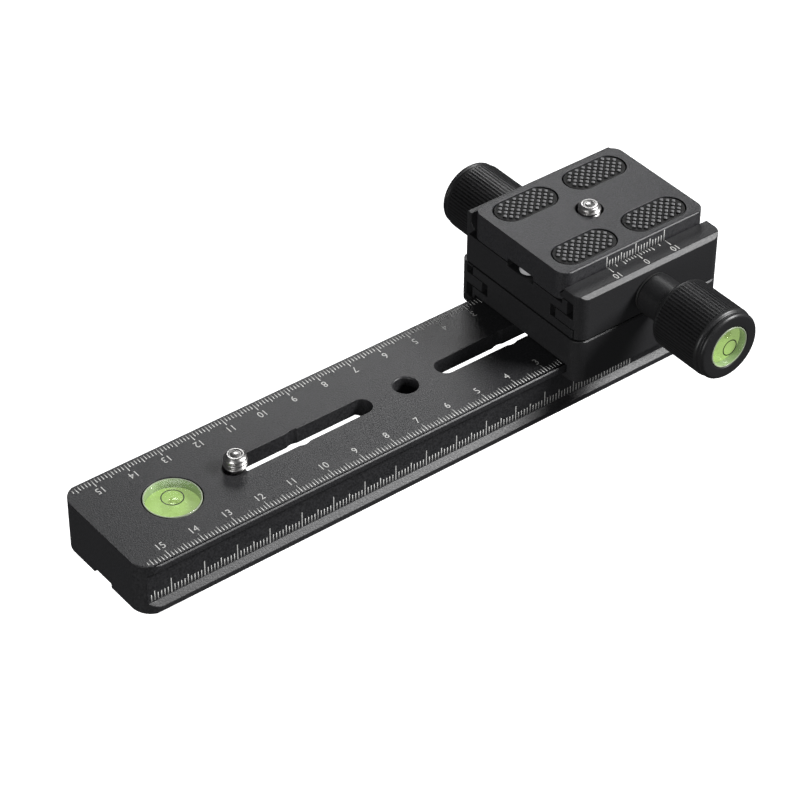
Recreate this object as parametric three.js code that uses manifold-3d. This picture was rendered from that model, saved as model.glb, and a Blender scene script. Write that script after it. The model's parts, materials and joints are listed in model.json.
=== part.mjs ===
// Nodal slide rail with a double quick-release clamp, a quick-release plate and bubble levels.
// Millimetres, +Z up. X runs along the rail, Y across it, and z = 0 is the rail's underside.
import * as THREE from "three";
import { mergeVertices } from "three/addons/utils/BufferGeometryUtils.js";
import Module from "manifold-3d";

const wasm = await Module();
wasm.setup();

// ---------- driving dimensions ----------

// Distance between neighbouring pieces that touch on the real object.
const GAP = 0.3;

// Rail: a dovetail bar of the 38 mm standard.
const RAIL_LENGTH = 180;
const RAIL_HALF = 19;
const RAIL_TOP = 15.7;
const RAIL_WEB = 17.43;
const RAIL_CORNER = 6;
const RAIL_EDGE = 2;
const RAIL_FOOT = 1.9;
const RAIL_CHAMFER = 0.5;
const RAIL_GROOVE = { half: 3.75, depth: 1.3 };
const SLOT_HALF = 2.95;
const SLOT_TRAVEL = 40.6;
const SLOT_CENTRES = [-29.15, 39.35];
const SLOT_SCREW_X = -48.8;
const ENTRY_RADIUS = 3.4;
const TOP_WALL = 4.95;
const POCKET_HALF = 14;
const POCKET_LENGTH = 58.5;
const THREAD_HOLE = { x: 5.7, radius: 3.25, mouth: 3.6 };
const RAIL_LEVEL = { x: -68.2, radius: 7.6, depth: 6.6 };

// Every round level: wall, bubble and ring are shares of its radius.
const LEVEL = { wall: 0.12, floor: 1, lens: 0.9, bubble: 0.2, bubbleDepth: 0.5, ring: 0.4 };
const LEVEL_INK = { width: 0.3, height: 0.12, proud: 0.05 };

// Camera thread of a quarter inch, 20 turns to the inch.
const THREAD_MAJOR = 3.1;
const THREAD_MINOR = 2.6;
const THREAD_PITCH = 1.27;
const NECK_RADIUS = 2.6;
const WASHER_HEIGHT = 0.6;
const SLOT_SCREW = { head: 6, headHeight: 3.8, tip: 2.2, above: 4.4, washer: 5.5 };
const PLATE_SCREW = { head: 6.2, headHeight: 2.7, tip: 2.2, above: 1.7, neckTop: -2.3 };
const COIN_SLOT = { half: 0.8, depth: 1.8 };

// Double clamp: both halves are as long as the plate and share its centre.
const CLAMP_X = 69.45;
const CLAMP_LENGTH = 50;
const CLAMP_CORNER = 3.5;
const NEAR_FACE = -23.6;
const LOWER_FAR_FACE = 26.3;
const UPPER_FAR_FACE = 25.3;
const LOWER_TOP = 25;
const LOWER_BOTTOM = 11.7;
const UPPER_BOTTOM = 25.6;
const UPPER_FLOOR = 34.6;
const NEAR_JAW_TOP = 39.7;
const FAR_JAW_TOP = 41.8;
const LOWER_AXIS_Z = 20.5;
const UPPER_AXIS_Z = 31.5;
const LOWER_TONGUE = { tip: 16.3, bottom: 18.6, top: 21.9, pocket: 14 };
const UPPER_TONGUE = { tip: -13.9, bottom: 28.6, top: 31.7, pocket: -11.8 };
const LOWER_SHELF = 20.3;
const JAW_STEP = 1.4;
const JAW_BACK = 22.8;
const JAW_CAP = 0.55;
const UPPER_SHELF = -18.4;
const UPPER_SHELF_RISE = 1.8;
const UPPER_PARTING = -21;
const BODY_CHAMFER = 0.5;
const NEAR_JAW_CHAMFER = 1.2;
const FAR_JAW_CHAMFER = 2.2;
const CHANNEL_Y = 0.7;
const CHANNEL_HALF = 5.3;
const CHANNEL_FLOOR = 33.6;
const JOIN_X = 15;
const JOIN = { shank: 1.9, head: 3.4, headHeight: 2.4, socket: 1.5, bottom: 18 };
const STOP_PIN_X = 7.6;
const STOP_PIN_RADIUS = 1.5;
const CHANNEL_SINK = 2.9;

// Quick-release plate.
const PLATE_Y = 2.35;
const PLATE_HALF = 18.85;
const PLATE_TOP = 43.4;
const PLATE_BOTTOM = 34.9;
const PLATE_SEAT = 39.2;
const PLATE_UNDERCUT = 1.6;
const PLATE_CHAMFER = 0.4;
const GROOVE_Z = 37.15;
const GROOVE_FLAT = 0.15;
const RIDGE_FLAT = 0.03;
const PLATE_BORE = { head: 6.6, mouth: 3.8, mouthDepth: 2.6 };
const PLATE_CHANNEL_TOP = 36.1;
const STOP_SCREW_X = 22;
const STOP_SCREW = { radius: 2.5, bottom: 34, top: 38.6, hole: 38.9, socket: 1.3 };
const PAD = { dx: 12.1, dy: 12.1, length: 20, width: 9.8, recess: 1.4, proud: 0.4 };

// Knobs.
const KNOB_RADIUS = 10.1;
const KNOB_BARREL = 20;
const NECK_OUTER = 6;
const WASHER = { inner: 2.7, outer: 5.8, bottom: 0.3, top: 0.8 };
const LOWER_KNOB_LENGTH = 26.7;
const UPPER_KNOB_LENGTH = 30.4;
const KNOB_LEVEL = { radius: 6, depth: 5.4 };
const KNOB_SOCKET = 7.5;
const FLUTE_DEPTH = 0.35;
const END_DISC_RADIUS = 9.7;
const LEAD_RADIUS = 2.4;
const LOWER_LEAD_TIP = 7.2;
const UPPER_LEAD_TIP = -5.8;

// Springs that push the jaws open.
const SPRING = { x: 12, radius: 0.95, wire: 0.25, length: 10.8, turns: 7 };
const LOWER_SPRING_Y = 9;
const LOWER_SPRING_Z = 20.25;
const UPPER_SPRING_Y = -17.4;
const UPPER_SPRING_Z = 30.15;
const SPRING_HOLE = 1.5;
const SPRING_NOTCH = 1.6;

// ---------- materials ----------

function paint(color, roughness, metalness) {
  return new THREE.MeshStandardMaterial({ color, roughness, metalness });
}

const anodised = paint(0x2b2c2f, 0.55, 0.6);
const anodisedPlate = paint(0x36373b, 0.6, 0.5);
const anodisedKnob = paint(0x1b1c1f, 0.4, 0.6);
const steel = paint(0xb9bbbe, 0.3, 0.9);
const springSteel = paint(0x8f9296, 0.35, 0.9);
const rubber = paint(0x141414, 0.9, 0);
const nylon = paint(0x2a2a2b, 0.6, 0);
const levelCup = paint(0xb4bcae, 0.4, 0);
const levelFluid = paint(0xa9e03c, 0.15, 0);
const levelInk = paint(0x101010, 0.5, 0);
const levelGlass = new THREE.MeshStandardMaterial({
  color: 0xdfe8e0,
  roughness: 0.05,
  metalness: 0,
  transparent: true,
  opacity: 0.35,
});
const bubbleAir = paint(0xdff5a8, 0.05, 0);

// ---------- solids ----------

function toSolid(geometry) {
  const bare = geometry.clone();
  bare.deleteAttribute("normal");
  bare.deleteAttribute("uv");
  const merged = mergeVertices(bare, 1e-4);
  return new wasm.Manifold(
    new wasm.Mesh({
      numProp: 3,
      vertProperties: new Float32Array(merged.attributes.position.array),
      triVerts: new Uint32Array(merged.index.array),
    }),
  );
}

function toGeometry(solid) {
  const mesh = solid.getMesh();
  const geometry = new THREE.BufferGeometry();
  const positions = new Float32Array(mesh.vertProperties);
  geometry.setAttribute("position", new THREE.BufferAttribute(positions, 3));
  geometry.setIndex(new THREE.BufferAttribute(new Uint32Array(mesh.triVerts), 1));
  geometry.computeVertexNormals();
  return geometry;
}

// A base geometry with other geometries cut from it.
function cut(base, tools) {
  return toGeometry(tools.reduce((solid, tool) => solid.subtract(toSolid(tool)), toSolid(base)));
}

function join(geometries) {
  const [first, ...rest] = geometries.map(toSolid);
  return toGeometry(rest.reduce((solid, next) => solid.add(next), first));
}

function common(a, b) {
  return toGeometry(toSolid(a).intersect(toSolid(b)));
}

function mirrorY(points) {
  return points.map(([y, z]) => [-y, z]).reverse();
}

// Prism along X from an outline of [y, z] points, centred on x = 0.
function prismAlongX(points, length) {
  const shape = new THREE.Shape(points.map(([y, z]) => new THREE.Vector2(y, z)));
  const geometry = new THREE.ExtrudeGeometry(shape, { depth: length, bevelEnabled: false });
  geometry.rotateX(Math.PI / 2);
  geometry.rotateZ(Math.PI / 2);
  geometry.translate(-length / 2, 0, 0);
  return geometry;
}

// Upright slab with rounded vertical corners.
function roundedSlab(x0, x1, y0, y1, z0, z1, radius, curveSegments = 8) {
  const shape = new THREE.Shape();
  shape.moveTo(x0 + radius, y0);
  shape.lineTo(x1 - radius, y0);
  shape.absarc(x1 - radius, y0 + radius, radius, -Math.PI / 2, 0, false);
  shape.lineTo(x1, y1 - radius);
  shape.absarc(x1 - radius, y1 - radius, radius, 0, Math.PI / 2, false);
  shape.lineTo(x0 + radius, y1);
  shape.absarc(x0 + radius, y1 - radius, radius, Math.PI / 2, Math.PI, false);
  shape.lineTo(x0, y0 + radius);
  shape.absarc(x0 + radius, y0 + radius, radius, Math.PI, Math.PI * 1.5, false);
  const depth = z1 - z0;
  const geometry = new THREE.ExtrudeGeometry(shape, { depth, bevelEnabled: false, curveSegments });
  geometry.translate(0, 0, z0);
  return geometry;
}

function box(x0, x1, y0, y1, z0, z1) {
  const geometry = new THREE.BoxGeometry(x1 - x0, y1 - y0, z1 - z0);
  geometry.translate((x0 + x1) / 2, (y0 + y1) / 2, (z0 + z1) / 2);
  return geometry;
}

// Solid of revolution about +Y from [radius, y] points, up its outside.
function turnedY(points, segments = 32) {
  return new THREE.LatheGeometry(points.map(([r, y]) => new THREE.Vector2(r, y)), segments);
}

// The same about +Z.
function turnedZ(points, segments = 32) {
  return turnedY(points, segments).rotateX(Math.PI / 2);
}

// Flat ring about +Y.
function ringY(inner, outer, y0, y1, segments = 32) {
  return turnedY([[inner, y0], [outer, y0], [outer, y1], [inner, y1], [inner, y0]], segments);
}

function cylinderZ(radius, z0, z1, x = 0, y = 0, segments = 24) {
  const geometry = turnedZ([[0, z0], [radius, z0], [radius, z1], [0, z1]], segments);
  return geometry.translate(x, y, 0);
}

function cylinderY(radius, y0, y1, x = 0, z = 0, segments = 20) {
  const geometry = turnedY([[0, y0], [radius, y0], [radius, y1], [0, y1]], segments);
  return geometry.translate(x, 0, z);
}

// Profile of ring-shaped threads upwards from z0, as [radius, z] points.
function threadProfile(z0, turns, major, minor, pitch) {
  const points = [];
  for (let i = 0; i < turns; i += 1) {
    const z = z0 + i * pitch;
    points.push([minor, z], [major, z + pitch * 0.4], [major, z + pitch * 0.6]);
  }
  return [...points, [minor, z0 + turns * pitch]];
}

class Helix extends THREE.Curve {
  constructor(radius, length, turns) {
    super();
    this.radius = radius;
    this.length = length;
    this.turns = turns;
  }

  getPoint(t, target = new THREE.Vector3()) {
    const angle = t * this.turns * Math.PI * 2;
    return target.set(
      this.radius * Math.cos(angle),
      t * this.length,
      this.radius * Math.sin(angle),
    );
  }
}

// Compression spring along +Y.
function coil({ radius, wire, length, turns }) {
  const section = new THREE.Shape();
  section.absarc(0, 0, wire, 0, Math.PI * 2, false);
  const path = new Helix(radius, length, turns);
  const steps = turns * 10;
  return new THREE.ExtrudeGeometry(section, { extrudePath: path, steps, curveSegments: 3 });
}

// ---------- rail ----------

function railOutline() {
  const overhang = RAIL_HALF - RAIL_WEB;
  const half = [
    [RAIL_GROOVE.half, RAIL_GROOVE.depth],
    [RAIL_GROOVE.half, 0],
    [RAIL_HALF - RAIL_CHAMFER, 0],
    [RAIL_HALF, RAIL_CHAMFER],
    [RAIL_HALF, RAIL_FOOT],
    [RAIL_WEB, RAIL_FOOT + overhang],
    [RAIL_WEB, RAIL_TOP - RAIL_EDGE - overhang],
    [RAIL_HALF, RAIL_TOP - RAIL_EDGE],
    [RAIL_HALF, RAIL_TOP - RAIL_CHAMFER],
    [RAIL_HALF - RAIL_CHAMFER, RAIL_TOP],
  ];
  return [...half, ...mirrorY(half)];
}

function slotCutters(centre) {
  const reach = SLOT_TRAVEL / 2 + SLOT_HALF;
  const above = RAIL_TOP + 1;
  const pocket = POCKET_LENGTH / 2;
  const ceiling = RAIL_TOP - TOP_WALL;
  return [
    roundedSlab(centre - reach, centre + reach, -SLOT_HALF, SLOT_HALF, 2, above, SLOT_HALF - 0.01),
    cylinderZ(ENTRY_RADIUS, 2, above, centre, 0, 28),
    roundedSlab(centre - pocket, centre + pocket, -POCKET_HALF, POCKET_HALF, -1, ceiling, 2.5, 4),
  ];
}

function rail() {
  const halfLength = RAIL_LENGTH / 2;
  const bar = common(
    prismAlongX(railOutline(), RAIL_LENGTH),
    roundedSlab(-halfLength, halfLength, -RAIL_HALF, RAIL_HALF, -1, RAIL_TOP + 1, RAIL_CORNER, 10),
  );
  const { x, radius, mouth } = THREAD_HOLE;
  const hole = turnedZ([
    [0, -1],
    [radius, -1],
    [radius, RAIL_TOP - (mouth - radius)],
    [mouth + 1, RAIL_TOP + 1],
    [0, RAIL_TOP + 1],
  ]).translate(x, 0, 0);
  const level = RAIL_LEVEL;
  const socket = cylinderZ(level.radius + GAP, RAIL_TOP - level.depth, RAIL_TOP + 1, level.x, 0, 40);
  return cut(bar, [...SLOT_CENTRES.flatMap(slotCutters), hole, socket]);
}

// ---------- bubble levels ----------

// Round level along +Z with its lens face at z = 0: cup, fluid, bubble, ring and lens.
function levelPieces(prefix, radius, depth, bubble) {
  const { wall, floor, lens } = LEVEL;
  const inner = radius * (1 - wall);
  const cup = turnedZ([
    [0, -depth],
    [radius, -depth],
    [radius, 0],
    [inner, 0],
    [inner, floor - depth],
    [0, floor - depth],
  ], 40);
  const film = GAP / 2;
  const fluidTop = -lens - GAP;
  const fluidBottom = floor - depth + GAP;
  const bubbleRadius = radius * LEVEL.bubble;
  const bubbleFloor = fluidTop - LEVEL.bubbleDepth;
  const bubbleCut = cylinderZ(bubbleRadius + film, bubbleFloor - film, fluidTop + 1, ...bubble);
  const fluid = cut(cylinderZ(inner - GAP, fluidBottom, fluidTop, 0, 0, 36), [bubbleCut]);
  const air = turnedZ([
    [0, bubbleFloor],
    [bubbleRadius * 0.8, bubbleFloor],
    [bubbleRadius, (bubbleFloor + fluidTop) / 2],
    [bubbleRadius, fluidTop],
    [0, fluidTop],
  ], 20).translate(bubble[0], bubble[1], 0);
  const { width, height, proud } = LEVEL_INK;
  const ringOuter = radius * LEVEL.ring;
  const ring = ringY(ringOuter - width, ringOuter, proud, proud + height).rotateX(Math.PI / 2);
  const lensSolid = cylinderZ(inner - 0.1, -lens, 0, 0, 0, 36);
  return [
    [`${prefix}_cup`, cup, levelCup],
    [`${prefix}_fluid`, fluid, levelFluid],
    [`${prefix}_bubble`, air, bubbleAir],
    [`${prefix}_lens`, lensSolid, levelGlass],
    [`${prefix}_ring`, ring, levelInk],
  ];
}

// ---------- captive screws ----------

// Slot for a coin, across a screw's head whose underside is at z = bottom.
function coinSlot(bottom) {
  return box(-7, 7, -COIN_SLOT.half, COIN_SLOT.half, bottom - 1, bottom + COIN_SLOT.depth);
}

// Camera screw about +Z, from its chamfered head at z = seat up to its tip.
function cameraScrew({ head, headHeight, tip, above }, seat, neckTop) {
  const bottom = seat - headHeight;
  const body = turnedZ([
    [0, bottom],
    [head - 0.4, bottom],
    [head, bottom + 0.4],
    [head, seat],
    [NECK_RADIUS, seat],
    [NECK_RADIUS, neckTop],
    ...threadProfile(neckTop, 3, THREAD_MAJOR, THREAD_MINOR, THREAD_PITCH),
    [tip, above],
    [0, above],
  ], 28);
  return cut(body, [coinSlot(bottom)]);
}

// Screw that slides in a rail slot, standing up from the rail's top face; z = 0 is that face.
function slotScrew() {
  return cameraScrew(SLOT_SCREW, -TOP_WALL - WASHER_HEIGHT - 2 * GAP, GAP);
}

function slotWasher() {
  const top = -TOP_WALL - GAP;
  return ringY(NECK_RADIUS + GAP, SLOT_SCREW.washer, top - WASHER_HEIGHT, top, 28).rotateX(Math.PI / 2);
}

// Plate screw: its slotted head hides in the plate's underside; z = 0 is the plate's top face.
function plateScrew() {
  return cameraScrew(PLATE_SCREW, PLATE_SEAT - PLATE_TOP - GAP, PLATE_SCREW.neckTop);
}

// ---------- double clamp ----------

// Lower body: holds the rail from above, with the fixed jaw on the near side.
function lowerBodyOutline() {
  const floor = RAIL_TOP + GAP;
  const wall = RAIL_HALF + 1.4 * GAP;
  const lip = RAIL_WEB + GAP;
  const edge = RAIL_TOP - RAIL_EDGE;
  const far = RAIL_HALF + GAP;
  const { pocket, bottom, top } = LOWER_TONGUE;
  return [
    [NEAR_FACE, LOWER_BOTTOM],
    [-lip, LOWER_BOTTOM],
    [-lip, edge - (wall - lip)],
    [-wall, edge],
    [-wall, floor],
    [far, floor],
    [far, floor - JAW_STEP],
    [LOWER_SHELF, floor - JAW_STEP],
    [LOWER_SHELF, bottom - GAP],
    [pocket, bottom - GAP],
    [pocket, top + GAP],
    [LOWER_SHELF, top + GAP],
    [LOWER_SHELF, LOWER_TOP],
    [NEAR_FACE + BODY_CHAMFER, LOWER_TOP],
    [NEAR_FACE, LOWER_TOP - BODY_CHAMFER],
  ];
}

function lowerJawOutline() {
  const wall = RAIL_HALF + 1.4 * GAP;
  const lip = RAIL_WEB + GAP;
  const edge = RAIL_TOP - RAIL_EDGE;
  const { tip, bottom, top } = LOWER_TONGUE;
  return [
    [lip, LOWER_BOTTOM],
    [LOWER_FAR_FACE, LOWER_BOTTOM],
    [LOWER_FAR_FACE, LOWER_TOP - BODY_CHAMFER],
    [LOWER_FAR_FACE - BODY_CHAMFER, LOWER_TOP],
    [LOWER_SHELF + GAP, LOWER_TOP],
    [LOWER_SHELF + GAP, LOWER_TOP - JAW_CAP],
    [JAW_BACK, LOWER_TOP - JAW_CAP],
    [JAW_BACK, top],
    [tip, top],
    [tip, bottom],
    [JAW_BACK, bottom],
    [JAW_BACK, RAIL_TOP - JAW_STEP],
    [wall, RAIL_TOP - JAW_STEP],
    [wall, edge],
    [lip, edge - (wall - lip)],
  ];
}

// Upper body: holds the plate, with the fixed jaw on the far side.
function upperBodyOutline() {
  const tip = PLATE_Y + PLATE_HALF - PLATE_UNDERCUT + GAP;
  const wall = PLATE_Y + PLATE_HALF + GAP;
  const relief = wall + 0.8;
  const ledge = PLATE_Y - PLATE_HALF + 0.1;
  const { pocket, bottom, top } = UPPER_TONGUE;
  return [
    [UPPER_PARTING, UPPER_BOTTOM],
    [UPPER_FAR_FACE, UPPER_BOTTOM],
    [UPPER_FAR_FACE, FAR_JAW_TOP - FAR_JAW_CHAMFER],
    [UPPER_FAR_FACE - FAR_JAW_CHAMFER, FAR_JAW_TOP],
    [wall, FAR_JAW_TOP],
    [wall, GROOVE_Z + wall - tip + RIDGE_FLAT],
    [tip, GROOVE_Z + RIDGE_FLAT],
    [tip, GROOVE_Z - RIDGE_FLAT],
    [relief, GROOVE_Z - (relief - tip) - RIDGE_FLAT],
    [relief, UPPER_FLOOR],
    [CHANNEL_Y + CHANNEL_HALF, UPPER_FLOOR],
    [CHANNEL_Y + CHANNEL_HALF, CHANNEL_FLOOR],
    [CHANNEL_Y - CHANNEL_HALF, CHANNEL_FLOOR],
    [CHANNEL_Y - CHANNEL_HALF, UPPER_FLOOR],
    [ledge, UPPER_FLOOR],
    [ledge, UPPER_FLOOR + UPPER_SHELF_RISE],
    [UPPER_SHELF, UPPER_FLOOR + UPPER_SHELF_RISE],
    [UPPER_SHELF, top + GAP],
    [pocket, top + GAP],
    [pocket, bottom - GAP],
    [UPPER_PARTING, bottom - GAP],
  ];
}

function upperJawOutline() {
  const jawTip = PLATE_Y - PLATE_HALF + PLATE_UNDERCUT - GAP;
  const wall = PLATE_Y - PLATE_HALF - GAP;
  const ridgeFloor = UPPER_FLOOR + UPPER_SHELF_RISE + GAP;
  const back = UPPER_PARTING + GAP;
  const { tip, bottom, top } = UPPER_TONGUE;
  return [
    [NEAR_FACE, UPPER_BOTTOM],
    [UPPER_PARTING - GAP, UPPER_BOTTOM],
    [UPPER_PARTING - GAP, bottom],
    [tip, bottom],
    [tip, top],
    [back, top],
    [back, ridgeFloor],
    [jawTip - (GROOVE_Z - RIDGE_FLAT - ridgeFloor), ridgeFloor],
    [jawTip, GROOVE_Z - RIDGE_FLAT],
    [jawTip, GROOVE_Z + RIDGE_FLAT],
    [wall, GROOVE_Z + jawTip - wall + RIDGE_FLAT],
    [wall, NEAR_JAW_TOP],
    [NEAR_FACE + NEAR_JAW_CHAMFER, NEAR_JAW_TOP],
    [NEAR_FACE, NEAR_JAW_TOP - NEAR_JAW_CHAMFER],
  ];
}

// Clamp part from its outline, with the double clamp's rounded upright corners.
function clampBlock(outline, farFace, tools) {
  const half = CLAMP_LENGTH / 2;
  const corners = roundedSlab(-half, half, NEAR_FACE, farFace, 0, PLATE_TOP, CLAMP_CORNER);
  return cut(common(prismAlongX(outline, CLAMP_LENGTH), corners), tools);
}

// Notches in a jaw's tongue for its two springs, opening at the tongue's tip.
function springNotches(y0, y1, z0, z1) {
  return [-SPRING.x, SPRING.x].map((x) => box(x - SPRING_NOTCH, x + SPRING_NOTCH, y0, y1, z0, z1));
}

function springHoles(y0, y1, z) {
  return [-SPRING.x, SPRING.x].map((x) => cylinderY(SPRING_HOLE, y0, y1, x, z, 14));
}

function lowerBody() {
  const { tip, pocket } = LOWER_TONGUE;
  const screwHoles = [-JOIN_X, JOIN_X].map((x) =>
    cylinderZ(JOIN.shank + GAP, JOIN.bottom - 2 * GAP, LOWER_TOP + 1, x, CHANNEL_Y, 16),
  );
  return clampBlock(lowerBodyOutline(), LOWER_FAR_FACE, [
    cylinderY(LEAD_RADIUS + GAP, LOWER_LEAD_TIP - 2 * GAP, tip + 7, 0, LOWER_AXIS_Z),
    ...springHoles(LOWER_SPRING_Y - 2 * GAP, pocket + 1, LOWER_SPRING_Z),
    ...screwHoles,
  ]);
}

function lowerJaw() {
  const { tip, bottom, top } = LOWER_TONGUE;
  return clampBlock(lowerJawOutline(), LOWER_FAR_FACE, [
    cylinderY(LEAD_RADIUS + GAP, tip - 1, LOWER_FAR_FACE + 1, 0, LOWER_AXIS_Z),
    ...springNotches(tip - 1, LOWER_SPRING_Y + SPRING.length + 0.5, bottom - 1, top + 1),
  ]);
}

function upperBody() {
  const { tip, pocket } = UPPER_TONGUE;
  const sink = CHANNEL_FLOOR - CHANNEL_SINK;
  const joints = [-JOIN_X, JOIN_X].flatMap((x) => [
    cylinderZ(JOIN.shank + GAP, UPPER_BOTTOM - 1, CHANNEL_FLOOR, x, CHANNEL_Y, 16),
    cylinderZ(JOIN.head + GAP, sink, CHANNEL_FLOOR + 1, x, CHANNEL_Y, 24),
  ]);
  const stops = [-STOP_PIN_X, STOP_PIN_X].map((x) =>
    cylinderZ(STOP_PIN_RADIUS + GAP, sink, CHANNEL_FLOOR + 1, x, CHANNEL_Y, 16),
  );
  return clampBlock(upperBodyOutline(), UPPER_FAR_FACE, [
    cylinderY(LEAD_RADIUS + GAP, tip - 8, UPPER_LEAD_TIP + 2 * GAP, 0, UPPER_AXIS_Z),
    ...springHoles(pocket - 1, UPPER_SPRING_Y + SPRING.length + 2 * GAP, UPPER_SPRING_Z),
    ...joints,
    ...stops,
  ]);
}

function upperJaw() {
  const { tip, bottom, top } = UPPER_TONGUE;
  return clampBlock(upperJawOutline(), UPPER_FAR_FACE, [
    cylinderY(LEAD_RADIUS + GAP, NEAR_FACE - 1, tip + 1, 0, UPPER_AXIS_Z),
    ...springNotches(UPPER_SPRING_Y - 0.5, tip + 1, bottom - 1, top + 0.1),
  ]);
}

function joiningScrew() {
  const top = CHANNEL_FLOOR - 0.2;
  const underHead = top - JOIN.headHeight;
  const head = cylinderZ(JOIN.head, underHead, top, 0, 0, 24);
  const shank = cylinderZ(JOIN.shank, JOIN.bottom, underHead + 1, 0, 0, 16);
  const socket = cylinderZ(JOIN.socket, top - JOIN.socket, top + 1, 0, 0, 6);
  return cut(join([head, shank]), [socket]);
}

// ---------- quick-release plate ----------

function plateOutline() {
  const half = [
    [PLATE_HALF - PLATE_CHAMFER, PLATE_BOTTOM],
    [PLATE_HALF - PLATE_CHAMFER, GROOVE_Z - GROOVE_FLAT - PLATE_UNDERCUT + PLATE_CHAMFER],
    [PLATE_HALF - PLATE_UNDERCUT, GROOVE_Z - GROOVE_FLAT],
    [PLATE_HALF - PLATE_UNDERCUT, GROOVE_Z + GROOVE_FLAT],
    [PLATE_HALF, GROOVE_Z + GROOVE_FLAT + PLATE_UNDERCUT],
    [PLATE_HALF, PLATE_TOP - PLATE_CHAMFER],
    [PLATE_HALF - PLATE_CHAMFER, PLATE_TOP],
  ];
  return [...half, ...mirrorY(half)];
}

// Slab with semicircular ends, long along X.
function capsule(length, width, z0, z1) {
  return roundedSlab(-length / 2, length / 2, -width / 2, width / 2, z0, z1, width / 2 - 0.01, 6);
}

function padPlaces() {
  return [-1, 1].flatMap((sx) => [-1, 1].map((sy) => [sx * PAD.dx, sy * PAD.dy]));
}

function plate() {
  const half = CLAMP_LENGTH / 2;
  const blank = common(
    prismAlongX(plateOutline(), CLAMP_LENGTH),
    roundedSlab(-half, half, -PLATE_HALF, PLATE_HALF, 0, PLATE_TOP + 1, CLAMP_CORNER),
  );
  const padBeds = padPlaces().map(([x, y]) =>
    capsule(PAD.length, PAD.width, PLATE_TOP - PAD.recess, PLATE_TOP + 1).translate(x, y, 0),
  );
  const stopHoles = [-STOP_SCREW_X, STOP_SCREW_X].map((x) =>
    cylinderZ(STOP_SCREW.radius + GAP, 0, STOP_SCREW.hole, x, CHANNEL_Y - PLATE_Y, 20),
  );
  const { head, mouth, mouthDepth } = PLATE_BORE;
  const channelAt = CHANNEL_Y - PLATE_Y;
  return cut(blank, [
    box(-half - 1, half + 1, channelAt - CHANNEL_HALF, channelAt + CHANNEL_HALF, 0, PLATE_CHANNEL_TOP),
    ...padBeds,
    ...stopHoles,
    cylinderZ(head, 0, PLATE_SEAT, 0, 0, 32),
    cylinderZ(NECK_RADIUS + GAP, PLATE_SEAT - 1, PLATE_TOP, 0, 0, 28),
    cylinderZ(mouth, PLATE_TOP - mouthDepth, PLATE_TOP + 1, 0, 0, 32),
  ]);
}

function pad() {
  const bottom = PLATE_TOP - PAD.recess + GAP;
  return capsule(PAD.length - 2 * GAP, PAD.width - 2 * GAP, bottom, PLATE_TOP + PAD.proud);
}

function stopScrew() {
  const { radius, bottom, top, socket } = STOP_SCREW;
  const key = cylinderZ(socket, bottom - 1, bottom + 1.6, 0, 0, 6);
  return cut(cylinderZ(radius, bottom, top, 0, 0, 20), [key]);
}

// ---------- knobs ----------

// Knob along +Y from the jaw face at y = 0 to its end face at y = length.
function knob(length) {
  const r = KNOB_RADIUS;
  const start = length - KNOB_BARREL;
  const hollow = KNOB_LEVEL.radius + GAP;
  const bore = LEAD_RADIUS + GAP;
  const floor = WASHER.top + GAP;
  const neck = [
    [0, length - KNOB_SOCKET],
    [bore, length - KNOB_SOCKET],
    [bore, floor],
    [NECK_OUTER, floor],
    [NECK_OUTER, start - 1.2],
    [NECK_OUTER + 1.2, start],
  ];
  const lip = [
    [r - 1.6, start],
    [r, start + 1.6],
    [r, start + 2.4],
  ];
  const flutes = [
    [r - FLUTE_DEPTH, start + 2.6],
    [r - FLUTE_DEPTH, length - 3.2],
  ];
  const shoulder = [
    [r, length - 3],
    [r - 0.1, length - 2.3],
    [END_DISC_RADIUS - 0.4, length - 1.7],
    [END_DISC_RADIUS - 0.4, length - 1.5],
  ];
  const endDisc = [
    [END_DISC_RADIUS, length - 1.3],
    [END_DISC_RADIUS, length - 0.6],
    [END_DISC_RADIUS - 0.6, length],
    [hollow, length],
    [hollow, length - KNOB_LEVEL.depth],
    [0, length - KNOB_LEVEL.depth],
  ];
  return turnedY([...neck, ...lip, ...flutes, ...shoulder, ...endDisc], 48);
}

function knobWasher() {
  return ringY(WASHER.inner, WASHER.outer, WASHER.bottom, WASHER.top);
}

// ---------- assembly ----------

const object = new THREE.Group();

function add(parent, name, geometry, material, [x, y, z] = [0, 0, 0]) {
  const mesh = new THREE.Mesh(geometry, material);
  mesh.name = name;
  mesh.position.set(x, y, z);
  parent.add(mesh);
}

function group(parent, x, y, z) {
  const made = new THREE.Group();
  made.position.set(x, y, z);
  parent.add(made);
  return made;
}

function addLevel(parent, prefix, radius, depth, bubble) {
  for (const [name, geometry, material] of levelPieces(prefix, radius, depth, bubble)) {
    add(parent, name, geometry, material);
  }
}

function addRail() {
  add(object, "rail", rail(), anodised);
  const level = group(object, RAIL_LEVEL.x, 0, RAIL_TOP);
  addLevel(level, "rail_level", RAIL_LEVEL.radius, RAIL_LEVEL.depth - GAP, [0.35, -0.1]);
  const screw = group(object, SLOT_SCREW_X, 0, RAIL_TOP);
  add(screw, "slot_screw", slotScrew(), steel);
  add(screw, "slot_screw_washer", slotWasher(), nylon);
}

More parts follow.
